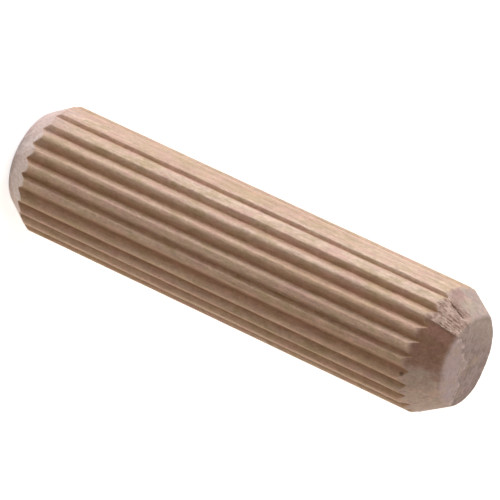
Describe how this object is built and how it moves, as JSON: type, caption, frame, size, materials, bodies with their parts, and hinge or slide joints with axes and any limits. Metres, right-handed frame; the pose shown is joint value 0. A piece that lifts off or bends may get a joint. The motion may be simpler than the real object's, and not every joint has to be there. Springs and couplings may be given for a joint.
{
  "type": "fluted wooden dowel pin",
  "caption": "Straight-fluted wooden dowel pin with a chamfered end on both sides, for a glued joint between two wooden panels.",
  "frame": {"origin": "centre of the lower end face, the rounder end", "axes": "+Z along the pin's axis, towards the sharper-cut upper end; the flutes run along Z"},
  "size_m": [0.0078, 0.0078, 0.03],
  "materials": {
    "wood": "bare, unsanded"
  },
  "bodies": {
    "root": {"dowel_pin": "wood"}
  },
  "joints": []
}
